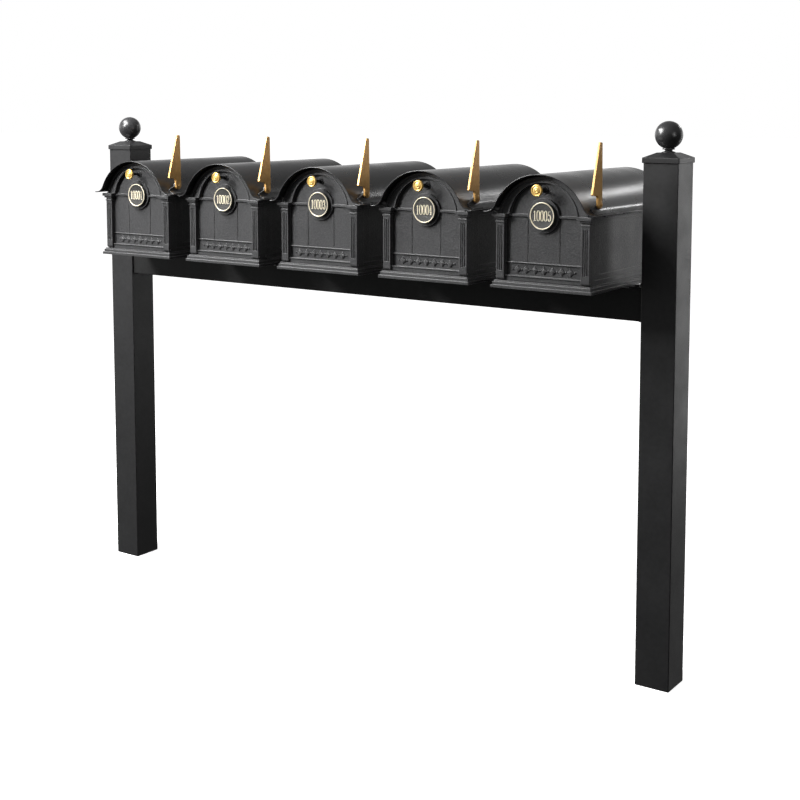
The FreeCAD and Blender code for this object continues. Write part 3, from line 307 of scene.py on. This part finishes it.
def softened(profile, size, steps=3):
    """The profile with each inner corner eased to a short curve."""
    corners = [Vector(point) for point in profile]
    path = [corners[0]]
    for before, corner, after in zip(corners, corners[1:], corners[2:]):
        back = before - corner
        on = after - corner
        cut = min(size, back.length * LONGEST_CUT, on.length * LONGEST_CUT)
        first = corner + back.normalized() * cut
        last = corner + on.normalized() * cut
        for step in range(steps + 1):
            t = step / steps
            path.append(first * (1 - t) ** 2 + corner * (2 * t * (1 - t)) + last * t ** 2)
    path.append(corners[-1])
    return path


def turned(bm, profile, centre, axis, steps=96, sides=0, start=0):
    """Adds a surface turned about an axis through centre.

    The profile is radius and distance along the axis, in mm. Where sides is set, the rings from
    number start on are a hole with that many flat sides.
    """
    across = axis.orthogonal().normalized()
    along = axis.cross(across)
    rings = []
    for number, (radius, distance) in enumerate(profile):
        middle = centre + axis * (distance * MM)
        if radius < MM:
            rings.append([bm.verts.new(middle)])
            continue
        ring = []
        for step in range(steps):
            angle = 2 * math.pi * step / steps
            reach = radius * MM
            if sides and number >= start:
                half = math.pi / sides
                reach /= math.cos(angle % (2 * half) - half)
            ring.append(bm.verts.new(middle + (across * math.cos(angle) + along * math.sin(angle)) * reach))
        rings.append(ring)
    for low, high in zip(rings, rings[1:]):
        for step in range(steps):
            after = (step + 1) % steps
            loop = [low[step % len(low)], low[after % len(low)],
                    high[after % len(high)], high[step % len(high)]]
            corners = list(dict.fromkeys(loop))
            if len(corners) > 2:
                bm.faces.new(corners)


def joined(bm, rings, closed):
    """Adds faces between each ring of points and the next, and caps unless the rings close on themselves."""
    following = rings[1:] + rings[:1] if closed else rings[1:]
    count = len(rings[0])
    for low, high in zip(rings, following):
        for n in range(count):
            after = (n + 1) % count
            bm.faces.new((low[n], low[after], high[after], high[n]))
    if not closed:
        bm.faces.new(rings[0])
        bm.faces.new(rings[-1])


# ---------------------------------------------------------------- castings, sheet and tube

for side in SIDES:
    rounded(f"post_{side}", 1.2)
    rounded(f"post_cap_{side}", 1.4, 3, "post_black")
# The beam gets the darker coat: painted shade under the boxes.
rounded("crossbeam", 0.8, 2, "beam_black_painted_shade")
for box in BOXES:
    rounded(f"mailbox_body_{box}", 0.55)
    rounded(f"door_{box}", 0.5)
    rounded(f"roof_{box}", 1.1, 3)
    rounded(f"flag_{box}", 0.9)
    rounded(f"flag_bracket_{box}", 0.6)
    rounded(f"back_panel_{box}", 0.7)

# ---------------------------------------------------------------- door fittings

# Distances in front of the door are from its flat face, which is this far behind a plaque's back.
PLAQUE_BOSS = 6 * MM
DOOR_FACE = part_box("number_plaque_1")[1].y + PLAQUE_BOSS

# radius and distance in front of the door's face, in mm
KNOB_HEAD = [(0, 39), (13, 39), (15.8, 40), (16.5, 41.6), (16.5, 44.6), (15.7, 46.4), (13.9, 47.4),
             (12.7, 46.8), (11.9, 45.7), (10.5, 45.7), (9.7, 46.8), (7.4, 47.7), (5.1, 48),
             (4.3, 47.3), (3.5, 48.1), (0, 48.8)]
KNOB_STEM = [(0, -16), (3.9, -16), (3.9, 1.9), (9, 1.9), (9, 3.4), (7.6, 4.8), (5.6, 6.2), (5, 9),
             (5, 20), (5.5, 25), (7, 30), (9.8, 35), (12.4, 38.2), (12.4, 39.2), (0, 39.3)]
PLAQUE_DISC = [(0, 6), (38.5, 6), (38.5, 13.9), (37.6, 14.8), (36.9, 13.4), (0, 13)]
PLAQUE_RING = [(33.9, 12.6), (33.9, 14), (34.6, 15), (36.4, 15), (37.1, 14), (37.1, 12.6), (33.9, 12.6)]
PLAQUE_STEPS = 128
BEAD = [(0, -0.4), (3.2, -0.4), (3.1, 0.6), (2.5, 1.6), (1.5, 2.2), (0, 2.4)]


DOT_STEPS = 20
BEAD_STEPS = 28


def door_point(box, height):
    """The point on a door's face at this height, on the middle line of its box."""
    return Vector((middle_of(f"number_plaque_{box}").x, DOOR_FACE, height))


def knob(box):
    """A gold head with a ring round its face, on a black stem and foot."""
    centre = door_point(box, middle_of(f"door_knob_{box}").z)
    bm = bmesh.new()
    turned(bm, softened(KNOB_HEAD, 0.6), centre, FRONT)
    placed(f"knob_head_{box}", finished(bm, "knob_head"), f"door_{box}", "gold", "knob_gold",
           (f"door_knob_{box}",))
    bm = bmesh.new()
    turned(bm, softened(KNOB_STEM, 0.7), centre, FRONT)
    placed(f"knob_stem_{box}", finished(bm, "knob_stem"), f"door_{box}", "black_hardware")


DIGIT_WIDE = 9.0
DIGIT_TALL = 27.5
DIGIT_PITCH = 11.1
THIN = 1.15
THICK = 2.9
# How much narrower a stroke is at its top, and how quickly strokes thicken as they turn upright.
STROKE_TAPER = 0.72
STROKE_CONTRAST = 1.6
DIGIT_FOOT = 12.7
DIGIT_TOP = 14.4
# Strokes that cross differ in height by this, so that their tops don't coincide.
STROKE_STEP = 0.03
DOT = [(0, DIGIT_FOOT), (1.6, DIGIT_FOOT), (1.6, 14), (0.96, 14.5), (0, 14.6)]

# Each digit's strokes, as shares of its width and height: a line thickens where it runs up and down,
# a flat stays thin, a ring closes on itself and a dot is round.
DIGIT_STROKES = {
    "0": [("ring", [(0.5, 0), (0.16, 0.12), (0.06, 0.5), (0.16, 0.88), (0.5, 1), (0.84, 0.88),
                    (0.94, 0.5), (0.84, 0.12)])],
    "1": [("line", [(0.54, 0.02), (0.54, 0.97)]),
          ("line", [(0.54, 0.96), (0.4, 0.88), (0.22, 0.83)]),
          ("flat", [(0.2, 0.025), (0.88, 0.025)])],
    "2": [("line", [(0.17, 0.74), (0.2, 0.88), (0.5, 0.98), (0.8, 0.88), (0.82, 0.7), (0.62, 0.46),
                    (0.32, 0.22), (0.12, 0.05)]),
          ("flat", [(0.1, 0.05), (0.88, 0.05)]),
          ("line", [(0.88, 0.03), (0.9, 0.2)]),
          ("dot", [(0.2, 0.76)])],
    "3": [("line", [(0.16, 0.8), (0.3, 0.95), (0.56, 0.98), (0.8, 0.86), (0.78, 0.66), (0.58, 0.55),
                    (0.38, 0.53)]),
          ("line", [(0.38, 0.53), (0.64, 0.52), (0.88, 0.38), (0.88, 0.14), (0.62, 0.01), (0.32, 0.03),
                    (0.14, 0.18)]),
          ("dot", [(0.2, 0.8)]),
          ("dot", [(0.18, 0.2)])],
    "4": [("line", [(0.66, 0.02), (0.66, 0.98)]),
          ("flat", [(0.64, 0.97), (0.08, 0.3)]),
          ("flat", [(0.06, 0.28), (0.96, 0.28)]),
          ("flat", [(0.42, 0.025), (0.9, 0.025)])],
    "5": [("flat", [(0.22, 0.95), (0.84, 0.95)]),
          ("flat", [(0.24, 0.96), (0.22, 0.56)]),
          ("line", [(0.22, 0.56), (0.42, 0.63), (0.7, 0.6), (0.9, 0.42), (0.88, 0.16), (0.62, 0.01),
                    (0.32, 0.03), (0.14, 0.18)]),
          ("dot", [(0.18, 0.2)])],
}


def eased(points, closed, steps=10):
    """A smooth path through the points."""
    points = [Vector(point) for point in points]
    count = len(points)
    if count == 2:
        return points
    path = []
    for n in range(count if closed else count - 1):
        a, b, c, d = (points[k % count] if closed else points[min(max(k, 0), count - 1)]
                      for k in (n - 1, n, n + 1, n + 2))
        for step in range(steps):
            t = step / steps
            path.append(0.5 * (2 * b + (c - a) * t + (2 * a - 5 * b + 4 * c - d) * t ** 2
                               + (3 * b - a - 3 * c + d) * t ** 3))
    return path if closed else path + [points[-1]]


def stroke(bm, path, kind, corner, top):
    """Adds one raised stroke of a digit along a path in mm from the digit's lower left corner."""
    closed = kind == "ring"
    count = len(path)
    foot_y = corner.y - DIGIT_FOOT * MM
    top_y = corner.y - top * MM
    rings = []
    for n, point in enumerate(path):
        before = path[n - 1] if closed or n else point
        after = path[(n + 1) % count] if closed or n < count - 1 else point
        way = (after - before).normalized()
        upright = 0 if kind == "flat" else abs(way.y) ** STROKE_CONTRAST
        half = (THIN + (THICK - THIN) * upright) / 2
        over = Vector((-way.y, way.x))
        ring = []
        for reach, y in ((half, foot_y), (half * STROKE_TAPER, top_y),
                         (-half * STROKE_TAPER, top_y), (-half, foot_y)):
            spot = point + over * reach
            ring.append(bm.verts.new((corner.x + spot.x * MM, y, corner.z + spot.y * MM)))
        rings.append(ring)
    joined(bm, rings, closed)


def digits(bm, number, centre):
    """Adds a row of raised digits about a centre on the door's face."""
    for place, digit in enumerate(number):
        left = (place - (len(number) - 1) / 2) * DIGIT_PITCH - DIGIT_WIDE / 2
        corner = centre + Vector((left * MM, 0, -DIGIT_TALL / 2 * MM))
        for layer, (kind, points) in enumerate(DIGIT_STROKES[digit]):
            scaled = [(x * DIGIT_WIDE, z * DIGIT_TALL) for x, z in points]
            if kind == "dot":
                across, height = scaled[0]
                turned(bm, DOT, corner + Vector((across * MM, 0, height * MM)), FRONT, DOT_STEPS)
            else:
                path = eased(scaled, kind == "ring")
                stroke(bm, path, kind, corner, DIGIT_TOP + layer * STROKE_STEP)


def plaque(box):
    """A textured disc with a raised pale ring and the box's number in raised digits."""
    centre = door_point(box, middle_of(f"number_plaque_{box}").z)
    body = f"door_{box}"
    bm = bmesh.new()
    turned(bm, softened(PLAQUE_DISC, 0.5), centre, FRONT, PLAQUE_STEPS)
    placed(f"plaque_disc_{box}", finished(bm, "plaque_disc"), body, "plaque",
           stands_for=(f"number_plaque_{box}",))
    bm = bmesh.new()
    turned(bm, softened(PLAQUE_RING, 0.6), centre, FRONT, PLAQUE_STEPS)
    placed(f"plaque_ring_{box}", finished(bm, "plaque_ring"), body, "plaque", "ivory_gold")
    bm = bmesh.new()
    digits(bm, str(10000 + box), centre)
    placed(f"plaque_digits_{box}", finished(bm, "plaque_digits"), body, "plaque", "ivory_gold")


# the ornament's row of lozenges with a bead between each and the next, in mm
ORNAMENT_HEIGHT = 53
LOZENGES = 7
LOZENGE_PITCH = 27
LOZENGE_HALF_WIDE = 11
LOZENGE_HALF_TALL = 12
BOSS_SHARE = 0.45
ORNAMENT_FOOT = -0.4
LOZENGE_TOP = 2.6
LOZENGE_SLOPE = 2.4
BOSS_RISE = 0.8


def lozenge(bm, centre, share, foot, top, inset):
    """Adds a raised lozenge whose top, in mm in front of the centre, is drawn in all round by inset."""
    wide = LOZENGE_HALF_WIDE * share
    tall = LOZENGE_HALF_TALL * share
    rings = []
    for depth, draw in ((foot, 0), (top - inset, 0), (top, inset)):
        ring = []
        for across, height in ((-wide, 0), (0, -tall), (wide, 0), (0, tall)):
            kept = 1 - draw / math.hypot(across, height)
            ring.append(bm.verts.new(centre + Vector((across * kept, -depth, height * kept)) * MM))
        rings.append(ring)
    joined(bm, rings, False)


def ornament(box):
    """A raised row of lozenges and beads in the band above the door's foot rail."""
    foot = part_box(f"mailbox_body_{box}")[0].z
    centre = door_point(box, foot + ORNAMENT_HEIGHT * MM)
    bm = bmesh.new()
    first = -(LOZENGES - 1) / 2 * LOZENGE_PITCH * MM
    spots = [centre + Vector((first + step * LOZENGE_PITCH * MM, 0, 0)) for step in range(LOZENGES)]
    for spot in spots:
        lozenge(bm, spot, 1, ORNAMENT_FOOT, LOZENGE_TOP, LOZENGE_SLOPE)
        lozenge(bm, spot, BOSS_SHARE, LOZENGE_TOP, LOZENGE_TOP + BOSS_RISE, BOSS_RISE)
    half_pitch = Vector((LOZENGE_PITCH / 2 * MM, 0, 0))
    for spot in [spots[0] - half_pitch] + [spot + half_pitch for spot in spots]:
        turned(bm, BEAD, spot, FRONT, BEAD_STEPS)
    placed(f"door_ornament_{box}", finished(bm, "door_ornament"), f"door_{box}", "cast_black")


# ---------------------------------------------------------------- finials

# radius and height above the post cap, in mm
FINIAL_NECK = [(0, -12), (6, -12), (6, 0), (19, 0), (19, 1.6), (15.5, 2.6), (11.5, 3.8), (10, 5.4),
               (10, 6.6), (12.5, 7.6), (17, 8.3), (18, 9.2), (18, 10.2), (15.5, 11.3)]
BALL_RADIUS = 38
BALL_HEIGHT = 47
BALL_STEPS = 48
FINIAL_STEPS = 128


def finial(side):
    """A ball on a waisted neck, with a short stud down into the cap."""
    centre = middle_of(f"post_{side}")
    centre.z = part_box(f"post_cap_{side}")[1].z
    profile = softened(FINIAL_NECK, 0.6)
    start = math.asin(FINIAL_NECK[-1][0] / BALL_RADIUS)
    for step in range(BALL_STEPS):
        angle = start + (math.pi - start) * step / BALL_STEPS
        profile.append((BALL_RADIUS * math.sin(angle), BALL_HEIGHT - BALL_RADIUS * math.cos(angle)))
    profile.append((0, BALL_HEIGHT + BALL_RADIUS))
    bm = bmesh.new()
    turned(bm, profile, centre, UP, FINIAL_STEPS)
    placed(f"finial_turned_{side}", finished(bm, "finial_turned"), "root", "finial_black",
           stands_for=(f"finial_{side}",))


# ---------------------------------------------------------------- fasteners

FASTENER_STEPS = 36
SOCKET_SIDES = 6
# shares of a head's radius and of its height
HEAD = [(1, 0), (1, 0.55), (0.9, 0.88), (0.66, 1)]
SOCKET = [(0.42, 1), (0.4, 0.5), (0, 0.5)]
# How far a fastener's outermost points may lie inside its ends or its head's rim.
END_SLACK = 0.02 * MM
RIM_SHARE = 0.98


def islands(node):
    """The points of each separate solid in a CAD node."""
    bm = bmesh.new()
    bm.from_mesh(frame["nodes"][node].data)
    bmesh.ops.remove_doubles(bm, verts=bm.verts, dist=SAME_CAD_POINT)
    bm.verts.ensure_lookup_table()
    seen = set()
    found = []
    for first in bm.verts:
        if first.index in seen:
            continue
        seen.add(first.index)
        queue = [first]
        spots = []
        while queue:
            vert = queue.pop()
            spots.append(vert.co.copy())
            for edge in vert.link_edges:
                other = edge.other_vert(vert)
                if other.index not in seen:
                    seen.add(other.index)
                    queue.append(other)
        found.append(spots)
    bm.free()
    return found


def measured(spots):
    """A fastener's middle and the way its head points, then in mm half its length, the height of its
    head's underside above its middle, its head's radius and its shank's radius."""
    low = Vector([min(spot[k] for spot in spots) for k in range(3)])
    high = Vector([max(spot[k] for spot in spots) for k in range(3)])
    size = high - low
    centre = (low + high) / 2
    long = max(range(3), key=lambda k: (round(size[k], 5), k))
    axis = Vector([float(k == long) for k in range(3)])
    reach = {1: 0.0, -1: 0.0}
    for spot in spots:
        away = spot - centre
        distance = away.dot(axis)
        if abs(distance) > size[long] / 2 - END_SLACK:
            end = 1 if distance > 0 else -1
            reach[end] = max(reach[end], (away - axis * distance).length)
    way = axis if reach[1] > reach[-1] else -axis
    radius = max(reach.values()) / MM
    heights = []
    for spot in spots:
        distance = (spot - centre).dot(way)
        if (spot - centre - way * distance).length > radius * MM * RIM_SHARE:
            heights.append(round(distance / MM, 2))
    return centre, way, size[long] / 2 / MM, min(heights), radius, min(reach.values()) / MM


def fasteners(node):
    """Round heads with a hex socket, and their shanks, where the CAD node has its screws."""
    bm = bmesh.new()
    for spots in islands(node):
        centre, way, half, neck, radius, shank = measured(spots)
        profile = [(0, -half), (shank, -half), (shank, neck)]
        profile += [(radius * share, neck + (half - neck) * height) for share, height in HEAD + SOCKET]
        turned(bm, profile, centre, way, FASTENER_STEPS, SOCKET_SIDES, len(profile) - len(SOCKET))
    placed(node + "_detailed", finished(bm, node), BODY_OF[node], NODE_SLOT[node], stands_for=(node,))


for box in BOXES:
    knob(box)
    plaque(box)
    ornament(box)
for side in SIDES:
    finial(side)
for node in ("panel_screws", "beam_bolts", "flag_screws"):
    fasteners(node)

# ---------------------------------------------------------------- studio


def grey(value):
    """A grey as a colour."""
    return (value, value, value)


FLOOR_HALF = 60
FLOOR_GAP = 0.5 * MM
FLOOR_GLOW = 0.8
FLOOR_GRAIN = 0.6


def floor():
    """A large plain pale floor that doesn't throw light back up."""
    made, tree, shader = node_tree("pale_floor")
    place = tree.nodes.new("ShaderNodeTexCoord").outputs["Object"]
    shade = blended(tree, noise(tree, place, FLOOR_GRAIN), grey(0.94), grey(0.97))
    tree.links.new(shade, shader.inputs["Base Color"])
    shader.inputs["Roughness"].default_value = 1
    shader.inputs["Specular IOR Level"].default_value = 0
    shader.inputs["Emission Color"].default_value = (1, 1, 1, 1)
    shader.inputs["Emission Strength"].default_value = FLOOR_GLOW
    corners = [(x * FLOOR_HALF, y * FLOOR_HALF, 0) for x, y in ((-1, -1), (1, -1), (1, 1), (-1, 1))]
    mesh = bpy.data.meshes.new("floor")
    mesh.from_pydata(corners, [], [(0, 1, 2, 3)])
    mesh.materials.append(made)
    laid = bpy.data.objects.new("floor", mesh)
    bpy.context.scene.collection.objects.link(laid)
    laid.location.z = CAD_BOX[0].z - FLOOR_GAP
    laid.visible_diffuse = False
    laid.visible_glossy = False


def soft_light(name, place, aim, size, watts, sheen_only=False):
    """A rectangular area light that points from place at aim; sheen_only lights reflections alone."""
    lamp = bpy.data.lights.new(name, "AREA")
    lamp.shape = "RECTANGLE"
    lamp.size, lamp.size_y = size
    lamp.energy = watts
    hung = bpy.data.objects.new(name, lamp)
    bpy.context.scene.collection.objects.link(hung)
    hung.location = place
    hung.rotation_euler = (Vector(aim) - Vector(place)).to_track_quat("-Z", "Y").to_euler()
    hung.visible_diffuse = not sheen_only


# The light from all round: at each height a dark and a bright side, with bands in which they blend.
BACK_LEFT = (-0.8, 0.6, 0)
SIDE_BAND = (-0.3, 0.5)
WALL_DARK, WALL_BRIGHT = 0.03, 1.5
GROUND_DARK, GROUND_BRIGHT = 0.004, 0.34
GROUND_BAND = (-0.16, 0.04)
DOME_BRIGHT = 0.28
DOME_BAND = (0.06, 0.42)


def world():
    """White as seen; as light, brightest low at the back left, dim overhead and dark at the front right."""
    made = bpy.data.worlds.new("studio")
    made.use_nodes = True
    tree = made.node_tree
    shader = tree.nodes["Background"]
    way = tree.nodes.new("ShaderNodeTexCoord").outputs["Generated"]
    split = tree.nodes.new("ShaderNodeSeparateXYZ")
    tree.links.new(way, split.inputs[0])
    height = split.outputs["Z"]
    back = spread(tree, dot(tree, way, BACK_LEFT), 0, 1, *SIDE_BAND)
    wall = blended(tree, back, grey(WALL_DARK), grey(WALL_BRIGHT))
    ground = blended(tree, back, grey(GROUND_DARK), grey(GROUND_BRIGHT))
    dome = blended(tree, spread(tree, height, 0, 1, *DOME_BAND), wall, grey(DOME_BRIGHT))
    light = blended(tree, spread(tree, height, 0, 1, *GROUND_BAND), ground, dome)
    seen = tree.nodes.new("ShaderNodeLightPath").outputs["Is Camera Ray"]
    tree.links.new(blended(tree, seen, light, grey(1)), shader.inputs["Color"])
    bpy.context.scene.world = made


EYE = (2.5442, -3.5078, 1.6146)
LOOK_DOWN = 5.59
LOOK_LEFT = 34.54
LENS = 62.23
SHIFT = -0.2


def camera():
    """Eye height at the right, looking left and a little down at the row."""
    lens = bpy.data.cameras.new("camera")
    lens.lens = LENS
    lens.shift_y = SHIFT
    stand = bpy.data.objects.new("camera", lens)
    bpy.context.scene.collection.objects.link(stand)
    stand.location = EYE
    stand.rotation_euler = (math.radians(90 - LOOK_DOWN), 0, math.radians(LOOK_LEFT))
    bpy.context.scene.camera = stand


floor()
world()
camera()
soft_light("key", (-1.9, -2.5, 2.8), (-0.5, 0, 1.2), (0.8, 0.8), 135)
soft_light("top", (-1.5, -1.35, 3.3), (-0.2, 0, 1.2), (2.2, 0.7), 200)
soft_light("side", (2.8, -0.8, 1.7), (0.95, 0, 0.9), (0.6, 0.8), 6)
soft_light("rim", (2.5, 3.1, 0.9), (0.9, 0, 0.9), (0.5, 2.2), 10)
soft_light("sheen", (1.3, 3.0, 2.7), (0.7, 0, 1.3), (0.3, 0.3), 7, sheen_only=True)
bpy.context.scene.view_settings.view_transform = "Standard"
